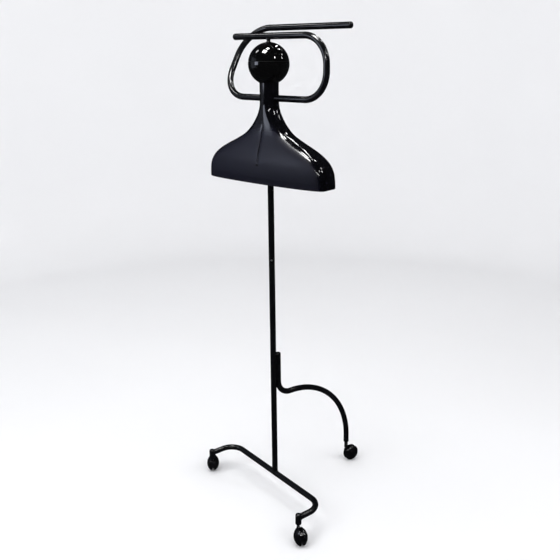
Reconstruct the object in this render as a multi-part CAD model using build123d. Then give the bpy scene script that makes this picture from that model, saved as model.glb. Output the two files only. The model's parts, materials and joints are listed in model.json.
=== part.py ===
from build123d import *
import os
from math import copysign, cos, pi, radians, sin, sqrt

# Valet stand. Millimetres, +Z up, origin on the floor under the pole axis.
# The bust faces -Y. The tube base is turned a little about the pole against the bust.

os.makedirs("parts", exist_ok=True)

# ---- driving dimensions ----
TUBE_R = 9.0             # every tube
TUBE_WALL = 1.5
BORE_R = TUBE_R - TUBE_WALL
RUN_GAP = 0.05           # radial gap of a running fit

BASE_TURN = -9.6         # degrees the base stands off the bust, about the pole

CROSS_Z = 76.5           # axis height of the base tube
SOCKET_X = 232.0         # caster sockets, left and right of the pole
SOCKET_Y = -93.0
CORNER_R = 50.0          # level bends of the base tube
SOCKET_BOTTOM = 57.0
SOCKET_TOP = 90.0

LEG_TOP = 490.0          # rear leg: upright, small bend back, large quarter circle
LEG_BEND_Z = 397.5
LEG_BEND_R = 47.5
LEG_ARC_R = 250.0
LEG_END_Z = 77.0

POLE_JOINT_Z = 789.0     # where the two pole tubes meet
BUTTON_Z = 798.5
BUTTON_TURN = -38.0      # direction the lock button faces, on the base
POLE_TOP = 1247.0

WHEEL_R = 26.5
WHEEL_HALF_WIDTH = 20.5
WHEEL_GAP = 4.6          # inner face of a wheel half from the caster's middle plane
TREAD_EDGE = 6.8
TRAIL = 21.0             # wheel axis behind the swivel axis
STEM_R = 4.0
STEM_TOP = 86.0
AXLE_R = 3.0
PLATE_HALF = 4.0

RIM_Z = 1033.8            # open lower edge of the bust
NECK_R = 27.0
SHELL_WALL = 4.0
HEAD_R = 57.5
HEAD_Z = 1362.0
SEAM_Z = HEAD_Z + 7.2
HEAD_WALL = 3.0

RAIL_LOW_Z = 1269.3      # rail tube through the neck
RAIL_FRONT_Z = 1435.1    # front rail, over the head
RAIL_FRONT_END = -128.0
RIGHT_X = 204.4
RIGHT_R = 75.0
REAR_Y = 113.5           # rear rail
REAR_Z = 1460.0
REAR_END = 194.0
LEFT_X = -190.0
LEFT_LOW_R = 90.0
LEFT_TOP_R = 91.0

STAY_Z = 1086.5          # inner stay and the screws that hold it
SCREW_Y = 55.0           # face of the bust where the screws sit

# Casters: swivel axis on the base and the way each one trails at rest, in degrees.
CASTERS = {
    "left": (-SOCKET_X, SOCKET_Y, 142.0),
    "right": (SOCKET_X, SOCKET_Y, -22.0),
    "rear": (0.0, 2 * TUBE_R + LEG_BEND_R + LEG_ARC_R, 84.0),
}


# ---- helpers ----
def on_base(shape):
    """Turn a piece drawn square to the base into its place."""
    return Rot(0, 0, BASE_TURN) * shape


def rod(radius, low, high, x=0.0, y=0.0):
    """Upright cylinder from height low to height high."""
    return Pos(x, y, (low + high) / 2) * Cylinder(radius, high - low)


def rod_x(radius, low, high, y=0.0, z=0.0):
    """Level cylinder along X."""
    return Pos((low + high) / 2, y, z) * Rot(0, 90, 0) * Cylinder(radius, high - low)


def rod_y(radius, low, high, x=0.0, z=0.0):
    """Level cylinder along Y."""
    return Pos(x, (low + high) / 2, z) * Rot(90, 0, 0) * Cylinder(radius, high - low)


def swept(path, radius):
    """Round bar of one radius along a path."""
    start = Plane(origin=path @ 0, z_dir=path % 0)
    return sweep(start * Circle(radius), path=path)


def tube_along(path):
    """Open-ended tube along a path."""
    return swept(path, TUBE_R) - swept(path, BORE_R)


def corner_path(points, radii):
    """Line through the points, each inner corner with its own radius."""
    edges = []
    here = Vector(points[0])
    for i, radius in enumerate(radii, start=1):
        corner = Vector(points[i])
        back = (here - corner).normalized()
        ahead = (Vector(points[i + 1]) - corner).normalized()
        angle = radians(back.get_angle(ahead))
        reach = radius / sin(angle / 2) * cos(angle / 2)
        middle = corner + (back + ahead).normalized() * (radius / sin(angle / 2) - radius)
        first = corner + back * reach
        last = corner + ahead * reach
        if (first - here).length > 0.01:
            edges.append(Line(here, first))
        edges.append(ThreePointArc(first, middle, last))
        here = last
    edges.append(Line(here, Vector(points[-1])))
    return Wire(edges)


def end_cap():
    """Rounded plug for a tube end: dome towards +Z, shank in the bore."""
    dome = Pos(0, 0, 0) * extrude(Circle(TUBE_R), 5.0)
    dome = fillet(dome.faces().sort_by(Axis.Z)[-1].edges(), 4.4)
    return dome + rod(BORE_R, -14.0, 0.0)


# ---- base ----
def base_path():
    points = [
        (-SOCKET_X, SOCKET_Y, CROSS_Z),
        (-SOCKET_X, 0, CROSS_Z),
        (SOCKET_X, 0, CROSS_Z),
        (SOCKET_X, SOCKET_Y, CROSS_Z),
    ]
    return corner_path(points, [CORNER_R, CORNER_R])


def base_tube():
    tube = tube_along(base_path())
    for side in (-1, 1):
        tube -= rod(TUBE_R, SOCKET_BOTTOM, SOCKET_TOP + 9, side * SOCKET_X, SOCKET_Y)
    return on_base(tube)


def caster_socket(side):
    """Short upright tube with a domed top that takes a caster."""
    outer = rod(TUBE_R, SOCKET_BOTTOM, SOCKET_TOP)
    outer = fillet(outer.faces().sort_by(Axis.Z)[-1].edges(), 6.0)
    socket = outer - rod(BORE_R, SOCKET_BOTTOM - 1, STEM_TOP + 1)
    return on_base(Pos(side * SOCKET_X, SOCKET_Y, 0) * socket)


def socket_weld(side):
    """Weld bead round the base tube where it meets a socket."""
    x = side * SOCKET_X
    bead = rod(TUBE_R + 1.5, CROSS_Z - 12, CROSS_Z + 12, x, SOCKET_Y)
    bead &= rod_y(TUBE_R + 1.5, SOCKET_Y, SOCKET_Y + 20, x, CROSS_Z)
    bead -= rod_y(TUBE_R, SOCKET_Y - 1, SOCKET_Y + 21, x, CROSS_Z)
    bead -= rod(TUBE_R, SOCKET_BOTTOM - 5, SOCKET_TOP + 5, x, SOCKET_Y)
    return on_base(bead)


def pole_weld():
    """Weld bead round the foot of the pole."""
    bead = rod(TUBE_R + 1.8, CROSS_Z, CROSS_Z + 12)
    bead &= rod_x(TUBE_R + 1.8, -20, 20, z=CROSS_Z)
    bead -= rod_x(TUBE_R, -21, 21, z=CROSS_Z)
    bead -= rod(TUBE_R, CROSS_Z - 5, CROSS_Z + 15)
    return on_base(bead)


def leg_path():
    y0 = 2 * TUBE_R
    y1 = y0 + LEG_BEND_R
    low = LEG_BEND_Z - LEG_BEND_R
    c = cos(radians(45))
    s = sin(radians(45))
    upright = Line((0, y0, LEG_TOP), (0, y0, LEG_BEND_Z))
    bend = ThreePointArc(
        (0, y0, LEG_BEND_Z),
        (0, y1 - LEG_BEND_R * c, LEG_BEND_Z - LEG_BEND_R * s),
        (0, y1, low),
    )
    arc_z = low - LEG_ARC_R
    arc = ThreePointArc(
        (0, y1, low),
        (0, y1 + LEG_ARC_R * s, arc_z + LEG_ARC_R * c),
        (0, y1 + LEG_ARC_R, arc_z),
    )
    foot = Line((0, y1 + LEG_ARC_R, arc_z), (0, y1 + LEG_ARC_R, LEG_END_Z))
    return Wire([upright, bend, arc, foot])


def rear_leg():
    return on_base(tube_along(leg_path()))


def leg_top_cap():
    return on_base(Pos(0, 2 * TUBE_R, LEG_TOP) * end_cap())


def leg_weld(side):
    """Weld bead in the groove between the pole and the rear leg."""
    low = LEG_BEND_Z + 8
    high = LEG_TOP - 8
    bead = Pos(side * 3.3, TUBE_R, (low + high) / 2) * Box(2.6, 8, high - low)
    bead -= rod(TUBE_R, low - 1, high + 1)
    bead -= rod(TUBE_R, low - 1, high + 1, 0, 2 * TUBE_R)
    return on_base(bead)


# ---- pole ----
def lower_pole():
    tube = rod(TUBE_R, CROSS_Z, POLE_JOINT_Z) - rod(BORE_R, CROSS_Z - 1, POLE_JOINT_Z + 1)
    tube -= rod_x(TUBE_R, -20, 20, z=CROSS_Z)
    return on_base(tube)


def upper_pole():
    tube = rod(TUBE_R, POLE_JOINT_Z, POLE_TOP) - rod(BORE_R, POLE_JOINT_Z - 1, POLE_TOP + 1)
    hole = Rot(0, 0, BUTTON_TURN) * rod_x(3.2, 0, 12, z=BUTTON_Z)
    return on_base(tube - hole)


def pole_spigot():
    """Short inner tube that lines up the two pole tubes."""
    spigot = rod(BORE_R, POLE_JOINT_Z - 45, POLE_JOINT_Z + 45)
    spigot -= rod(BORE_R - 2, POLE_JOINT_Z - 46, POLE_JOINT_Z + 46)
    hole = Rot(0, 0, BUTTON_TURN) * rod_x(3.0, 0, 12, z=BUTTON_Z)
    return on_base(spigot - hole)


def pole_lock_button():
    """Spring button that shows through the upper pole tube."""
    button = rod_x(3.0, 5.0, TUBE_R + 1.0, z=BUTTON_Z)
    button = fillet(button.faces().sort_by(Axis.X)[-1].edges(), 1.0)
    return on_base(Rot(0, 0, BUTTON_TURN) * button)


def pole_top_plug():
    """Plug the bust turns on."""
    plug = rod(BORE_R, POLE_TOP - 20, POLE_TOP)
    head = Pos(0, 0, POLE_TOP) * extrude(Circle(TUBE_R - 0.6), 1.5)
    return on_base(plug + chamfer(head.faces().sort_by(Axis.Z)[-1].edges(), 0.8))


# ---- casters ----
def on_caster(name, shape):
    """Put a piece drawn in a caster's own frame into its place."""
    x, y, turn = CASTERS[name]
    return on_base(Pos(x, y, 0) * Rot(0, 0, turn) * shape)


def caster_sleeve(name):
    """Sleeve that grips in the tube end and carries the stem."""
    tube_end = LEG_END_Z if name == "rear" else SOCKET_BOTTOM
    low = SOCKET_BOTTOM - 1.5
    if name == "rear":
        sleeve = rod(BORE_R, tube_end, STEM_TOP + 12) + rod(6.2, low, tube_end)
    else:
        sleeve = rod(BORE_R, tube_end, STEM_TOP) + rod(TUBE_R - 0.8, low, tube_end)
    sleeve -= rod(STEM_R + RUN_GAP, low - 1, STEM_TOP + 13)
    return on_caster(name, sleeve)


def caster_stem(name):
    """Swivel stem with a thrust flange under the sleeve."""
    stem = rod(STEM_R, WHEEL_R + 14, STEM_TOP - 0.5)
    stem = chamfer(stem.faces().sort_by(Axis.Z)[-1].edges(), 0.8)
    flange = rod(6.0, SOCKET_BOTTOM - 3.2, SOCKET_BOTTOM - 1.8)
    return on_caster(name, stem + flange)


def caster_body(name):
    """Middle plate between the wheel halves, with the stem and axle holes."""
    disc = rod_y(17.0, -PLATE_HALF, PLATE_HALF, TRAIL, WHEEL_R)
    block = Pos(0.5, 0, WHEEL_R + 7) * Box(12, 2 * PLATE_HALF, 28)
    block = fillet(block.edges().filter_by(Axis.Y), 2.5)
    web = Pos(TRAIL / 2, 0, WHEEL_R + 2) * Box(TRAIL, 2 * PLATE_HALF, 22)
    plate = disc + block + web
    plate -= rod_y(AXLE_R, -10, 10, TRAIL, WHEEL_R)
    plate -= rod(STEM_R, WHEEL_R + 14, 60)
    return on_caster(name, plate)


def caster_axle(name):
    return on_caster(name, rod_y(AXLE_R, -14.0, 14.0, TRAIL, WHEEL_R))


def wheel_profile():
    """Half section of one domed wheel half: X is radius, Y is along the axle."""
    rise = WHEEL_HALF_WIDTH - TREAD_EDGE
    ball = (WHEEL_R ** 2 + rise ** 2) / (2 * rise)
    centre = WHEEL_HALF_WIDTH - ball
    mid = dome_point(ball, centre, WHEEL_R * 0.55)
    outline = [
        Line((0, WHEEL_GAP), (WHEEL_R - 0.8, WHEEL_GAP)),
        Line((WHEEL_R - 0.8, WHEEL_GAP), (WHEEL_R, WHEEL_GAP + 0.8)),
        Line((WHEEL_R, WHEEL_GAP + 0.8), (WHEEL_R, TREAD_EDGE)),
        ThreePointArc((WHEEL_R, TREAD_EDGE), mid, (0, WHEEL_HALF_WIDTH)),
        Line((0, WHEEL_HALF_WIDTH), (0, WHEEL_GAP)),
    ]
    return make_face(outline)


def dome_point(ball, centre, radius):
    """Point of the wheel's dome at one radius."""
    return (radius, centre + sqrt(ball ** 2 - radius ** 2))


def wheel_half(name, side):
    """Domed wheel half with a ring groove and a seat for its hub cap."""
    wheel = revolve(wheel_profile(), Axis.Y)
    for ring_r, deep in ((20.5, 0.5), (14.5, 0.7)):
        rise = WHEEL_HALF_WIDTH - TREAD_EDGE
        ball = (WHEEL_R ** 2 + rise ** 2) / (2 * rise)
        y = WHEEL_HALF_WIDTH - ball + sqrt(ball ** 2 - ring_r ** 2)
        groove = Pos(0, y, 0) * Rot(90, 0, 0) * Torus(ring_r, deep)
        wheel -= groove
    wheel -= rod_y(AXLE_R + RUN_GAP, 0, 14.3)
    wheel -= rod_y(8.0, 16.0, 25)
    wheel = wheel if side > 0 else Rot(0, 0, 180) * wheel
    return on_caster(name, Pos(TRAIL, 0, WHEEL_R) * wheel)


def hub_cap(name, side):
    """Small domed cap in the middle of a wheel half."""
    cap = rod_y(8.0, 16.0, 17.6)
    top = rod_y(7.2, 16.0, WHEEL_HALF_WIDTH - 0.4)
    cap = cap + fillet(top.faces().sort_by(Axis.Y)[-1].edges(), 1.4)
    cap = cap if side > 0 else Rot(0, 0, 180) * cap
    return on_caster(name, Pos(TRAIL, 0, WHEEL_R) * cap)


# ---- bust ----
# One level cut of the bust: height, half width, half depth, and how square its corners
# are (2 is a round cut).
BUST_CUTS = [
    (RIM_Z, 221.2, 54.1, 5.0),
    (1055.7, 219.6, 55.9, 5.0),
    (1079.4, 214.6, 55.9, 4.8),
    (1098.6, 203.0, 54.5, 4.6),
    (1116.2, 183.4, 50.8, 4.2),
    (1133.1, 154.8, 46.2, 3.8),
    (1150.8, 117.0, 40.6, 3.4),
    (1168.3, 84.0, 35.5, 3.0),
    (1186.8, 62.8, 32.2, 2.7),
    (1209.8, 45.0, 29.4, 2.3),
    (1229.9, 33.8, 28.0, 2.1),
    (1242.0, 29.6, 27.4, 2.0),
    (1252.0, 27.7, NECK_R, 2.0),
    (1262.0, NECK_R, NECK_R, 2.0),
    (1272.0, NECK_R, NECK_R, 2.0),
    (1282.0, NECK_R, NECK_R, 2.0),
    (1292.0, NECK_R, NECK_R, 2.0),
    (1302.0, NECK_R, NECK_R, 2.0),
    (1312.0, NECK_R, NECK_R, 2.0),
    (1322.0, NECK_R, NECK_R, 2.0),
]
CUT_STEPS = 32           # points round a cut


def bust_cut(z, half_width, half_depth, squareness, inset=0.0):
    """Level cut through the bust, drawn inset by a wall: a squared oval whose long sides bow out."""
    w = half_width - inset
    d = half_depth - inset
    bow = (squareness - 2) / 12
    power = 2 / squareness
    points = []
    for i in range(CUT_STEPS):
        turn = 2 * pi * i / CUT_STEPS
        u = copysign(abs(cos(turn)) ** power, cos(turn))
        v = copysign(abs(sin(turn)) ** power, sin(turn))
        points.append((w * u, d * v * (1 - bow * u * u)))
    return Pos(0, 0, z) * make_face(Wire([Spline(*points, periodic=True)]))


def bust_body(inset):
    return loft([bust_cut(*cut, inset=inset) for cut in BUST_CUTS])


def bust_shell():
    """Hollow bust, open below, with the neck cut to seat the head. One half is mirrored."""
    half = bust_body(0.0) - bust_body(SHELL_WALL)
    half -= Pos(0, 0, HEAD_Z) * Sphere(HEAD_R)
    half &= Pos(-200, 0, RIM_Z + 170) * Box(400, 400, 400)
    shell = half + mirror(half, Plane.YZ)
    shell -= rod_x(TUBE_R + 0.15, -40, 40, z=RAIL_LOW_Z)
    shell -= rod_y(2.5, -80, 80, z=STAY_Z)
    for side in (1, -1):
        shell -= rod_y(4.6, side * (SCREW_Y + 10) - 11, side * (SCREW_Y + 10) + 11, z=STAY_Z)
    return shell


def front_screw(side):
    """Flat round screw head in the bust wall, its shank in the inner stay."""
    screw = rod_y(2.4, SCREW_Y - 14.5, SCREW_Y - 0.5, z=STAY_Z) + rod_y(4.5, SCREW_Y - 0.9, SCREW_Y + 0.7, z=STAY_Z)
    return screw if side > 0 else Rot(0, 0, 180) * screw


def bust_stay():
    """Bar across the bust with a ring that steadies it on the pole."""
    bar = Pos(0, 0, STAY_Z) * Box(16, 2 * 50.0, 14)
    ring = rod(15.0, STAY_Z - 7, STAY_Z + 7)
    stay = bar + ring
    stay -= rod(TUBE_R + RUN_GAP, STAY_Z - 8, STAY_Z + 8)
    for side in (1, -1):
        stay -= rod_y(2.4, side * 46 - 6, side * 46 + 6, z=STAY_Z)
    return stay


def neck_plug():
    """Turned plug in the neck: the blind sleeve that turns on the pole."""
    top = POLE_TOP + 10
    plug = rod(13.0, POLE_TOP - 130, top - 18) + rod(NECK_R - SHELL_WALL - 0.1, top - 12, top)
    plug += Pos(0, 0, top - 15) * Cone(13.0, 20.0, 6.0)
    plug -= rod(TUBE_R + RUN_GAP, POLE_TOP - 131, POLE_TOP + 1.6)
    return plug


def neck_collar():
    """Ring in the top of the neck that seats the head."""
    low = RAIL_LOW_Z + 20
    collar = rod(NECK_R - SHELL_WALL - 0.1, low, low + 40) - rod(18.0, low - 1, low + 41)
    return collar - Pos(0, 0, HEAD_Z) * Sphere(HEAD_R)


# ---- head ----
def head_shell(upper):
    """One half of the hollow ball, parted at the seam."""
    shell = Sphere(HEAD_R) - Sphere(HEAD_R - HEAD_WALL)
    gap = 0.7
    cut_z = SEAM_Z - HEAD_Z
    if upper:
        keep = Pos(0, 0, cut_z + gap + 100) * Box(200, 200, 200)
    else:
        keep = Pos(0, 0, cut_z - gap - 100) * Box(200, 200, 200)
    return Pos(0, 0, HEAD_Z) * (shell & keep)


def head_seam_ring():
    """Inner band that lines up the two head shells and shows in the seam."""
    ring = Sphere(HEAD_R - HEAD_WALL) - Sphere(HEAD_R - HEAD_WALL - 2)
    ring &= Pos(0, 0, SEAM_Z - HEAD_Z) * Box(200, 200, 14)
    lip = Sphere(HEAD_R - 1.0) - Sphere(HEAD_R - HEAD_WALL - 1)
    lip &= Pos(0, 0, SEAM_Z - HEAD_Z) * Box(200, 200, 1.4)
    return Pos(0, 0, HEAD_Z) * (ring + lip)


def top_pin():
    """Waisted pin between the head and the front rail."""
    low = HEAD_Z + HEAD_R - 3
    high = RAIL_FRONT_Z - 5
    mid = (HEAD_Z + HEAD_R + RAIL_FRONT_Z - TUBE_R) / 2
    outline = [
        Line((0, low), (7.5, low)),
        Line((7.5, low), (7.5, mid - 3.5)),
        ThreePointArc((7.5, mid - 3.5), (5.2, mid), (7.5, mid + 3.5)),
        Line((7.5, mid + 3.5), (7.5, high)),
        Line((7.5, high), (0, high)),
        Line((0, high), (0, low)),
    ]
    pin = revolve(Plane.XZ * make_face(Wire(outline)), Axis.Z)
    pin -= Pos(0, 0, HEAD_Z) * Sphere(HEAD_R)
    pin -= rod_x(TUBE_R, -20, 20, z=RAIL_FRONT_Z)
    return pin


# ---- rails ----
def front_rail_path():
    """Front rail over the head, round the right side and back into the neck."""
    points = [
        (RAIL_FRONT_END, 0, RAIL_FRONT_Z),
        (RIGHT_X, 0, RAIL_FRONT_Z),
        (RIGHT_X, 0, RAIL_LOW_Z),
        (0, 0, RAIL_LOW_Z),
    ]
    return corner_path(points, [RIGHT_R, RIGHT_R])


def rear_rail_path():
    """Out of the neck to the left, up and back, then right as the rear rail."""
    points = [
        (0, 0, RAIL_LOW_Z),
        (LEFT_X, 0, RAIL_LOW_Z),
        (LEFT_X, REAR_Y, REAR_Z),
        (REAR_END, REAR_Y, REAR_Z),
    ]
    return corner_path(points, [LEFT_LOW_R, LEFT_TOP_R])


def rail_front():
    return tube_along(front_rail_path())


def rail_rear():
    return tube_along(rear_rail_path())


def rail_joiner():
    """Inner piece where the two rail tubes meet in the neck."""
    return rod_x(BORE_R, -22, 22, z=RAIL_LOW_Z)


def rail_cap(front):
    if front:
        return Pos(RAIL_FRONT_END, 0, RAIL_FRONT_Z) * Rot(0, -90, 0) * end_cap()
    return Pos(REAR_END, REAR_Y, REAR_Z) * Rot(0, 90, 0) * end_cap()


# ---- all pieces ----
PIECES = {
    "base_tube": base_tube(),
    "socket_left": caster_socket(-1),
    "socket_right": caster_socket(1),
    "socket_weld_left": socket_weld(-1),
    "socket_weld_right": socket_weld(1),
    "rear_leg": rear_leg(),
    "leg_top_cap": leg_top_cap(),
    "leg_weld_left": leg_weld(-1),
    "leg_weld_right": leg_weld(1),
    "pole_lower": lower_pole(),
    "pole_weld": pole_weld(),
    "pole_upper": upper_pole(),
    "pole_spigot": pole_spigot(),
    "pole_lock_button": pole_lock_button(),
    "pole_top_plug": pole_top_plug(),
    "bust_shell": bust_shell(),
    "bust_screw_front": front_screw(-1),
    "bust_screw_back": front_screw(1),
    "bust_stay": bust_stay(),
    "neck_plug": neck_plug(),
    "neck_collar": neck_collar(),
    "head_lower": head_shell(False),
    "head_upper": head_shell(True),
    "head_seam_ring": head_seam_ring(),
    "top_pin": top_pin(),
    "rail_front": rail_front(),
    "rail_rear": rail_rear(),
    "rail_joiner": rail_joiner(),
    "rail_cap_front": rail_cap(True),
    "rail_cap_rear": rail_cap(False),
}
for place in CASTERS:
    PIECES[f"caster_sleeve_{place}"] = caster_sleeve(place)
    PIECES[f"caster_stem_{place}"] = caster_stem(place)
    PIECES[f"caster_body_{place}"] = caster_body(place)
    PIECES[f"caster_axle_{place}"] = caster_axle(place)
    for hand, side in (("a", 1), ("b", -1)):
        PIECES[f"wheel_{place}_{hand}"] = wheel_half(place, side)
        PIECES[f"hub_cap_{place}_{hand}"] = hub_cap(place, side)

for name, piece in PIECES.items():
    export_step(piece, f"parts/{name}.step")
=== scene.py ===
import bpy, bmesh, json, math
from mathutils import Matrix, Vector


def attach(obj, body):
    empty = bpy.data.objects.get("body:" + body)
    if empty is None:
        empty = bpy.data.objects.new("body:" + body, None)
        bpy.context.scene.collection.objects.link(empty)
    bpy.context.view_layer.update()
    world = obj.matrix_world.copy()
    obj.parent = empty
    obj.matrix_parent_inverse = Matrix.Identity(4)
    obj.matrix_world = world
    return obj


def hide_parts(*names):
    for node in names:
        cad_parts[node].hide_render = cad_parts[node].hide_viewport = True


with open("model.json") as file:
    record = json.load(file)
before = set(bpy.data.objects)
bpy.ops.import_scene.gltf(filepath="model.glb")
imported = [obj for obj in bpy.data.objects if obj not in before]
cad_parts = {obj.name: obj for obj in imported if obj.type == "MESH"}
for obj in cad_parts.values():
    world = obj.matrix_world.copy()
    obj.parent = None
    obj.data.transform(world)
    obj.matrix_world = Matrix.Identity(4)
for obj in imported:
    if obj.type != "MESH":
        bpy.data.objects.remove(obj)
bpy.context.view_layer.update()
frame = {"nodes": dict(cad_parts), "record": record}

# ---------------------------------------------------------------- materials


class Nodes:
    """Small helper that adds and links nodes of one material."""

    def __init__(self, name):
        self.mat = bpy.data.materials.new(name)
        self.mat.use_nodes = True
        self.tree = self.mat.node_tree
        self.tree.nodes.clear()
        self.out = self.add("ShaderNodeOutputMaterial")
        self.bsdf = self.add("ShaderNodeBsdfPrincipled")
        self.link(self.bsdf.outputs["BSDF"], self.out.inputs["Surface"])
        self.coord = self.add("ShaderNodeTexCoord")

    def add(self, kind, **values):
        node = self.tree.nodes.new(kind)
        for key, value in values.items():
            setattr(node, key, value)
        return node

    def link(self, a, b):
        self.tree.links.new(a, b)

    def noise(self, scale, detail, rough=0.55):
        """Noise in the object's own metres."""
        node = self.add("ShaderNodeTexNoise")
        node.inputs["Scale"].default_value = scale
        node.inputs["Detail"].default_value = detail
        node.inputs["Roughness"].default_value = rough
        self.link(self.coord.outputs["Object"], node.inputs["Vector"])
        return node.outputs["Fac"]

    def ramp(self, fac, low, high):
        """Colour that runs from low to high over the middle of a noise."""
        node = self.add("ShaderNodeValToRGB")
        for stop, place, colour in zip(node.color_ramp.elements, (0.3, 0.7), (low, high)):
            stop.position = place
            stop.color = colour
        self.link(fac, node.inputs["Fac"])
        return node.outputs["Color"]

    def remap(self, fac, low, high, start=0.0, end=1.0):
        """Value that runs from low to high while fac runs from start to end."""
        node = self.add("ShaderNodeMapRange")
        node.inputs["From Min"].default_value = start
        node.inputs["From Max"].default_value = end
        node.inputs["To Min"].default_value = low
        node.inputs["To Max"].default_value = high
        self.link(fac, node.inputs["Value"])
        return node.outputs["Result"]

    def bump(self, height, strength, distance, after=None):
        """Relief of a height, added to the relief in after if there is one."""
        node = self.add("ShaderNodeBump")
        node.inputs["Strength"].default_value = strength
        node.inputs["Distance"].default_value = distance
        self.link(height, node.inputs["Height"])
        if after is not None:
            self.link(after, node.inputs["Normal"])
        return node.outputs["Normal"]


# Band of a noise over which the gloss changes, and the depth of the orange peel in metres.
SMUDGE_START, SMUDGE_END = 0.35, 0.7
PEEL_DEPTH = 0.0004


def grey(value, blue):
    """Grey with a little more blue."""
    return (value, value, value + blue, 1.0)


def coated(
    name, dark, light, rough, spread, coat=0.0, peel=0.05, peel_scale=350.0, metal=0.0, blue=0.0
):
    """Finish that drifts from a dark to a light grey, with uneven gloss and a fine orange peel.

    The roughness runs from rough to rough + spread.
    """
    m = Nodes(name)
    drift = m.noise(9.0, 4.0)
    m.link(m.ramp(drift, grey(dark, blue), grey(light, blue)), m.bsdf.inputs["Base Color"])
    smudge = m.noise(34.0, 5.0, 0.65)
    gloss = m.remap(smudge, rough, rough + spread, SMUDGE_START, SMUDGE_END)
    m.link(gloss, m.bsdf.inputs["Roughness"])
    m.bsdf.inputs["Metallic"].default_value = metal
    m.bsdf.inputs["Coat Weight"].default_value = coat
    m.bsdf.inputs["Coat Roughness"].default_value = 0.04
    fine = m.noise(peel_scale, 2.0)
    m.link(m.bump(fine, peel, PEEL_DEPTH), m.bsdf.inputs["Normal"])
    return m.mat


# Each look by its material slot: name, dark, light, lowest roughness, spread of the roughness.
LOOKS = {
    "base_lacquer": coated("base lacquer", 0.0015, 0.0030, 0.13, 0.12, coat=0.3, peel=0.035, blue=0.0008),
    "pole_lacquer": coated("pole lacquer", 0.0012, 0.0026, 0.15, 0.12, coat=0.2, peel=0.035, blue=0.0004),
    "rail_lacquer": coated("rail lacquer", 0.0016, 0.0034, 0.12, 0.10, coat=0.3, peel=0.035, blue=0.0010),
    "pin_lacquer": coated("pin lacquer", 0.0016, 0.0030, 0.14, 0.10, coat=0.3),
    "weld": coated("weld bead", 0.0020, 0.0040, 0.20, 0.14, coat=0.2, peel=0.7, peel_scale=420.0),
    "cap": coated("tube cap", 0.0022, 0.0040, 0.16, 0.12, peel=0.12),
    "head_gloss": coated("head gloss", 0.0010, 0.0020, 0.03, 0.03, coat=0.5, peel=0.004, peel_scale=90.0),
    "seam": coated("seam", 0.0008, 0.0015, 0.5, 0.2, peel=0.2),
    "screw": coated("blackened screw", 0.006, 0.014, 0.34, 0.2, metal=0.6, peel=0.2),
    "button": coated("bright button", 0.45, 0.65, 0.24, 0.15, metal=1.0, peel=0.1),
    "spigot_steel": coated("inner tube", 0.25, 0.38, 0.35, 0.2, metal=1.0, peel=0.1),
    "inner_plastic": coated("inner plastic", 0.006, 0.012, 0.42, 0.2, peel=0.3),
    "bearing_steel": coated("dark steel", 0.03, 0.08, 0.28, 0.2, metal=1.0, peel=0.1),
    "sleeve_plastic": coated("sleeve plastic", 0.003, 0.006, 0.30, 0.2, peel=0.25),
    "caster_plastic": coated("caster plastic", 0.0016, 0.0034, 0.12, 0.10, peel=0.08, blue=0.0006),
    "wheel_plastic": coated("wheel plastic", 0.0014, 0.0030, 0.09, 0.10, coat=0.3, peel=0.08, blue=0.0006),
    "hub_plastic": coated("hub plastic", 0.0018, 0.0036, 0.08, 0.10, coat=0.3, peel=0.06, blue=0.0008),
}


# The colour sockets of a mix node, which share their names with its other sockets.
MIX_FIRST, MIX_SECOND, MIX_RESULT = 6, 7, 2


def bust_look():
    """Black shell: satin with a painted bluish sheen on the broad panels, high gloss on the shoulder band
    and neck.

    The mesh carries the share of satin, which also brings the painted sheen, at each point in its
    attribute "panel".
    """
    m = Nodes("bust lacquer")
    zone = m.add("ShaderNodeAttribute", attribute_name="panel")
    satin = zone.outputs["Fac"]
    drift = m.noise(7.0, 4.0)
    band_colour = m.ramp(drift, (0.0012, 0.0012, 0.0020, 1), (0.0024, 0.0024, 0.0034, 1))
    # Lighter, bluer satin panel colour: partly the panels' own dark tone, partly a painted bluish sheen.
    panel_colour_and_sheen = m.ramp(drift, (0.0026, 0.0027, 0.0100, 1), (0.0042, 0.0043, 0.0140, 1))
    mix = m.add("ShaderNodeMix", data_type="RGBA")
    m.link(satin, mix.inputs["Factor"])
    m.link(band_colour, mix.inputs[MIX_FIRST])
    m.link(panel_colour_and_sheen, mix.inputs[MIX_SECOND])
    m.link(mix.outputs[MIX_RESULT], m.bsdf.inputs["Base Color"])
    smudge = m.noise(26.0, 5.0, 0.65)
    uneven = m.remap(smudge, -0.02, 0.04, SMUDGE_START, SMUDGE_END)
    total = m.add("ShaderNodeMath", operation="ADD")
    m.link(m.remap(satin, 0.07, 0.42), total.inputs[0])
    m.link(uneven, total.inputs[1])
    m.link(total.outputs[0], m.bsdf.inputs["Roughness"])
    slow = m.noise(16.0, 2.0)
    fine = m.noise(420.0, 2.0)
    waves = m.bump(slow, 0.03, 0.002)
    m.link(m.bump(fine, 0.05, PEEL_DEPTH, waves), m.bsdf.inputs["Normal"])
    return m.mat


LOOKS["bust_shell"] = bust_look()

slots = {s["node"]: s["material_slot"] for s in frame["record"]["subparts"]}
for node, obj in frame["nodes"].items():
    obj.data.materials.clear()
    obj.data.materials.append(LOOKS[slots[node]])

# ---------------------------------------------------------------- meshes


def join_rows(bm, rows):
    """Faces between closed rows of points, one row after the other."""
    for a, b in zip(rows, rows[1:]):
        for i in range(len(a)):
            j = (i + 1) % len(a)
            bm.faces.new((a[i], b[i], b[j], a[j]))


def smooth_object(name, bm, look):
    """Object with smooth shading and one material, made from a finished bmesh."""
    mesh = bpy.data.meshes.new(name)
    bm.to_mesh(mesh)
    bm.free()
    for polygon in mesh.polygons:
        polygon.use_smooth = True
    mesh.materials.append(look)
    obj = bpy.data.objects.new(name, mesh)
    bpy.context.scene.collection.objects.link(obj)
    return obj


# ---------------------------------------------------------------- bust

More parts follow.
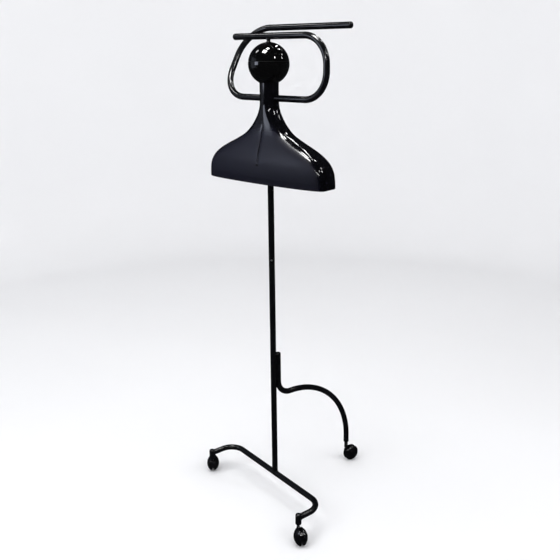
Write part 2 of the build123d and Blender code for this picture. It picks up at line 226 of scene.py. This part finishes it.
# Level cuts of the bust in metres: height, half width, half depth, and how square the cut is in
# front and behind, where 2 is an ellipse.
HEIGHT, WIDTH, DEPTH, SQUARE_FRONT, SQUARE_BACK = range(5)
CUTS = [
    (1.0338, 0.2212, 0.0541, 8.0, 5.0),
    (1.0557, 0.2196, 0.0559, 8.0, 5.0),
    (1.0794, 0.2146, 0.0559, 7.6, 4.8),
    (1.0986, 0.2030, 0.0545, 7.0, 4.6),
    (1.1162, 0.1834, 0.0508, 6.2, 4.2),
    (1.1331, 0.1548, 0.0462, 5.4, 3.8),
    (1.1508, 0.1170, 0.0406, 4.6, 3.4),
    (1.1683, 0.0840, 0.0355, 3.8, 3.0),
    (1.1868, 0.0628, 0.0322, 3.1, 2.7),
    (1.2098, 0.0450, 0.0294, 2.5, 2.3),
    (1.2299, 0.0338, 0.0280, 2.15, 2.1),
    (1.2420, 0.0296, 0.0274, 2.0, 2.0),
    (1.2520, 0.0277, 0.0270, 2.0, 2.0),
    (1.2620, 0.0270, 0.0270, 2.0, 2.0),
    (1.3200, 0.0270, 0.0270, 2.0, 2.0),
]
WALL = 0.004
NECK_END = 1.3113
# Distance between the level rows on the shoulders, and above NECK_START on the neck. No row comes
# closer than SHORTEST_ROW to the end of the neck.
ROW, NECK_ROW, SHORTEST_ROW = 0.0022, 0.006, 0.0005
NECK_START = 1.26
# Points round a cut, a multiple of 4, and where extra ones stand between the crease and the next
# point on either side, as shares of that distance.
TURNS = 168
CREASE_SHARES = (0.012, 0.03, 0.08, 0.3)
# Heights and insets of the rounded rim from the inside out, and where the outer side starts.
RIM = [(1.0338, WALL * 0.80), (1.0338, WALL * 0.45), (1.0338, 0.0008), (1.0341, 0.0002)]
OUTER_START = 1.0347
# Satin, and with it the painted bluish sheen, fades in over these ranges: how square the cut is, and the
# point's share of the half depth.
PANEL_SQUARE = (2.3, 4.0)
PANEL_DEPTH = (0.80, 0.93)
# The squarer a cut, the more its faces draw in toward the ends: a larger number draws in less.
DRAW_IN = 12
# The crease down the middle of the front: where it fades in and out, half width and depth.
CREASE_FOOT = (1.088, 1.100)
CREASE_TOP = (1.170, 1.205)
CREASE_HALF_WIDTH = 0.0016
CREASE_DEPTH = 0.0015


def between(z, column):
    """Smooth value of one column of the cuts at a height."""
    k = 0
    while k < len(CUTS) - 2 and z > CUTS[k + 1][HEIGHT]:
        k += 1

    def slope(i):
        if i <= 0 or i >= len(CUTS) - 1:
            return 0.0
        before = CUTS[i][HEIGHT] - CUTS[i - 1][HEIGHT]
        after = CUTS[i + 1][HEIGHT] - CUTS[i][HEIGHT]
        left = (CUTS[i][column] - CUTS[i - 1][column]) / before
        right = (CUTS[i + 1][column] - CUTS[i][column]) / after
        return (left * after + right * before) / (before + after)

    step = CUTS[k + 1][HEIGHT] - CUTS[k][HEIGHT]
    t = min(max((z - CUTS[k][HEIGHT]) / step, 0), 1)
    return (
        ((2 * t - 3) * t * t + 1) * CUTS[k][column]
        + ((t - 2) * t + 1) * t * (slope(k) * step)
        + (3 - 2 * t) * t * t * CUTS[k + 1][column]
        + (t - 1) * t * t * (slope(k + 1) * step)
    )


def fade(value, start, end):
    """Smooth step from 0 at start to 1 at end."""
    t = min(max((value - start) / (end - start), 0.0), 1.0)
    return t * t * (3 - 2 * t)


def bust_point(z, turn, share, inset):
    """Point on the bust at a height and angle, and how much it belongs to a broad panel.

    The share draws the point toward the middle of the width without leaving the outline.
    """
    half_width = between(z, WIDTH) - inset
    half_depth = between(z, DEPTH) - inset
    cosine, sine = math.cos(turn), math.sin(turn)
    square = between(z, SQUARE_FRONT if sine < 0 else SQUARE_BACK)
    power = 2 / square
    u = math.copysign(abs(cosine) ** power, cosine) * share
    v = math.copysign(max(1 - abs(u) ** square, 0.0) ** (1 / square), sine)
    bow = (between(z, SQUARE_BACK) - 2) / DRAW_IN
    x = half_width * u
    y = half_depth * v * (1 - bow * u * u)
    satin = fade(square, *PANEL_SQUARE) * fade(abs(v), *PANEL_DEPTH)
    outside_front = inset == 0 and sine < -0.9
    if outside_front:
        along = fade(z, *CREASE_FOOT) * (1 - fade(z, *CREASE_TOP))
        groove = along * math.exp(-((x / CREASE_HALF_WIDTH) ** 2))
        y += CREASE_DEPTH * groove
        satin *= 1 - groove
    return Vector((x, y, z)), satin


def bust_heights():
    """Heights of the level rows, from the rim to the end of the neck."""
    heights = []
    z = CUTS[0][HEIGHT]
    while z < NECK_END - SHORTEST_ROW:
        heights.append(z)
        z += ROW if z < NECK_START else NECK_ROW
    heights.append(NECK_END)
    return heights


def bust_turns():
    """Angle and share of each point round a cut, with extra ones beside the front crease."""
    turns = [(2 * math.pi * i / TURNS, 1.0) for i in range(TURNS)]
    front = 3 * TURNS // 4
    before = [(turns[front - 1][0], share) for share in reversed(CREASE_SHARES)]
    after = [(turns[front + 1][0], share) for share in CREASE_SHARES]
    return turns[:front] + before + [turns[front]] + after + turns[front + 1:]


def make_bust():
    """Hollow bust with a rounded rim, open below."""
    bm = bmesh.new()
    zone = bm.verts.layers.float.new("panel")
    turns = bust_turns()
    heights = bust_heights()

    def ring(z, inset):
        row = []
        for turn, share in turns:
            point, satin = bust_point(z, turn, share, inset)
            vert = bm.verts.new(point)
            vert[zone] = satin
            row.append(vert)
        return row

    inner = [ring(z, WALL) for z in reversed(heights)]
    rim = [ring(z, inset) for z, inset in RIM]
    outer = [ring(max(z, OUTER_START), 0.0) for z in heights]
    join_rows(bm, inner + rim + outer)
    bmesh.ops.recalc_face_normals(bm, faces=bm.faces)
    obj = smooth_object("bust", bm, LOOKS["bust_shell"])
    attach(obj, "torso")
    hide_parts("bust_shell")


make_bust()

# ---------------------------------------------------------------- stage

BOWL_RADIUS = 3.4
BOWL_BEND = 0.6
BOWL_TOP = 4.2
BOWL_TURNS = 96
BEND_STEPS = 12
FLOOR_RINGS = (0.6, 1.6)
PALE = (0.885, 0.885, 0.895)
PALE_DRIFT = 0.985


def backdrop_look():
    """Plain pale matt surface with a very faint drift in tone."""
    m = Nodes("pale backdrop")
    drift = m.noise(1.3, 3.0)
    darker = tuple(value * PALE_DRIFT for value in PALE) + (1,)
    m.link(m.ramp(drift, darker, PALE + (1,)), m.bsdf.inputs["Base Color"])
    m.bsdf.inputs["Roughness"].default_value = 0.75
    m.bsdf.inputs["Specular IOR Level"].default_value = 0.15
    return m.mat


def room_bowl():
    """Round floor that curves up into a plain wall on every side, unseen in the gloss."""
    flat = BOWL_RADIUS - BOWL_BEND
    line = [(radius, 0.0) for radius in FLOOR_RINGS + (flat,)]
    for i in range(1, BEND_STEPS + 1):
        t = math.pi / 2 * i / BEND_STEPS
        line.append((flat + BOWL_BEND * math.sin(t), BOWL_BEND - BOWL_BEND * math.cos(t)))
    line.append((BOWL_RADIUS, BOWL_TOP))
    turns = [2 * math.pi * i / BOWL_TURNS for i in range(BOWL_TURNS)]
    bm = bmesh.new()
    rows = []
    for radius, z in line:
        rows.append([bm.verts.new((radius * math.cos(t), radius * math.sin(t), z)) for t in turns])
    bm.faces.new(rows[0])
    join_rows(bm, rows)
    obj = smooth_object("backdrop", bm, backdrop_look())
    obj.visible_glossy = False


room_bowl()

# ---------------------------------------------------------------- light

# Lights are placed from the head along these directions, and aim at one of three points.
LIGHT_TURN = math.radians(43.3)
RIGHT = Vector((math.cos(LIGHT_TURN), math.sin(LIGHT_TURN), 0))
TOWARD = Vector((math.sin(LIGHT_TURN), -math.cos(LIGHT_TURN), 0))
UP = Vector((0, 0, 1))
HEAD = Vector((0, 0, 1.362))
CHEST = Vector((0.08, 0, 1.15))
MIDDLE = Vector((0, 0, 0.7))
WHITE = (1, 1, 1)


def from_point(start, offset):
    """Point reached from a start by going right, up and toward the camera side."""
    return start + RIGHT * offset[0] + UP * offset[1] + TOWARD * offset[2]


def panel(name, offset, size, power, colour=WHITE, aim=HEAD, along=None):
    """Rectangular soft light at an offset from the head, with its long side along a direction."""
    data = bpy.data.lights.new(name, "AREA")
    data.shape = "RECTANGLE"
    data.size, data.size_y = size
    data.energy = power
    data.color = colour
    obj = bpy.data.objects.new(name, data)
    bpy.context.scene.collection.objects.link(obj)
    obj.visible_camera = False
    obj.location = from_point(HEAD, offset)
    obj.rotation_mode = "QUATERNION"
    back = (obj.location - aim).normalized()
    if along is None:
        obj.rotation_quaternion = back.to_track_quat("Z", "Y")
    else:
        long_side = from_point(Vector(), along)
        long_side = (long_side - back * long_side.dot(back)).normalized()
        axes = Matrix((long_side.cross(back), long_side, back)).transposed()
        obj.rotation_quaternion = axes.to_quaternion()
    return obj


def card(name, offset, size, power, colour=WHITE, aim=HEAD, along=None):
    """Panel that is only there to be seen in the gloss."""
    obj = panel(name, offset, size, power, colour, aim, along)
    obj.visible_diffuse = False


def wash(name, offset, size, power, colour=WHITE):
    """Broad soft light on the room that the gloss doesn't mirror."""
    obj = panel(name, offset, size, power, colour, MIDDLE)
    obj.visible_glossy = False


wash("soft_top", (-0.3, 2.7, 0.2), (3.0, 2.4), 78)
wash("soft_right", (2.3, 2.2, 1.5), (1.8, 1.4), 36)
wash("soft_left", (-2.3, 1.4, 1.6), (1.8, 1.6), 46, (0.96, 0.98, 1.0))
card("window_a", (-0.72, 2.15, 0.70), (0.80, 0.70), 52)
card("window_b", (-0.12, 2.33, 0.10), (0.42, 0.42), 22)
card("strip", (0.78, 1.78, -0.85), (0.09, 1.60), 11, aim=CHEST, along=(0.03, 0.42, 0.91))
card("lamp_a", (1.25, 1.28, 1.62), (0.13, 0.34), 7)
card("lamp_b", (1.23, 1.60, -0.81), (0.14, 0.14), 3.5, aim=CHEST)
card("lamp_c", (2.19, 0.96, 0.16), (0.20, 0.26), 5, aim=CHEST)
card("slit", (-0.53, 0.55, 2.33), (1.30, 0.09), 9)
card("rail_glow", (-1.65, 1.75, -0.60), (0.30, 0.5), 4.5)
card("arm_glow", (2.1, 1.3, -0.35), (0.3, 0.3), 2.5, aim=MIDDLE)
card("left_face", (-3.0, 0.15, -0.3), (2.2, 2.0), 3.6, (0.80, 0.86, 1.0), CHEST)
card("left_sheen", (-2.3, 0.15, 0.72), (0.9, 0.7), 6.5, (0.78, 0.84, 1.0), CHEST)

world = bpy.data.worlds.new("room")
bpy.context.scene.world = world
world.use_nodes = True
dim_sky = world.node_tree.nodes["Background"]
dim_sky.inputs["Color"].default_value = (0.82, 0.86, 0.95, 1)
dim_sky.inputs["Strength"].default_value = 0.022

# ---------------------------------------------------------------- camera

# Distance from the pole and height in metres, and the turn round the pole from the bust's front.
CAMERA_DISTANCE, CAMERA_HEIGHT = 2.09413, 1.40398
CAMERA_TURN = math.radians(43.11)
# The small turn away from the pole, the tilt down and the roll, in radians.
YAW, TILT, ROLL = -0.01161, 0.28646, -0.01205


def make_camera():
    """Camera in front of the stand, turned round it toward +X and tilted down."""
    data = bpy.data.cameras.new("camera")
    data.sensor_width = 36.0
    data.lens = 47.0295
    data.shift_y = -0.03
    data.clip_end = 50
    obj = bpy.data.objects.new("camera", data)
    bpy.context.scene.collection.objects.link(obj)
    obj.location = (
        CAMERA_DISTANCE * math.sin(CAMERA_TURN),
        -CAMERA_DISTANCE * math.cos(CAMERA_TURN),
        CAMERA_HEIGHT,
    )
    heading = CAMERA_TURN + YAW
    level = Vector((-math.sin(heading), math.cos(heading), 0))
    right = Vector((math.cos(heading), math.sin(heading), 0))
    ahead = level * math.cos(TILT) - UP * math.sin(TILT)
    up = UP * math.cos(TILT) + level * math.sin(TILT)
    rolled_right = right * math.cos(ROLL) + up * math.sin(ROLL)
    rolled_up = up * math.cos(ROLL) - right * math.sin(ROLL)
    obj.rotation_mode = "QUATERNION"
    obj.rotation_quaternion = Matrix((rolled_right, rolled_up, -ahead)).transposed().to_quaternion()
    bpy.context.scene.camera = obj


make_camera()
bpy.context.scene.view_settings.view_transform = "Standard"
bpy.context.scene.view_settings.exposure = 0.0
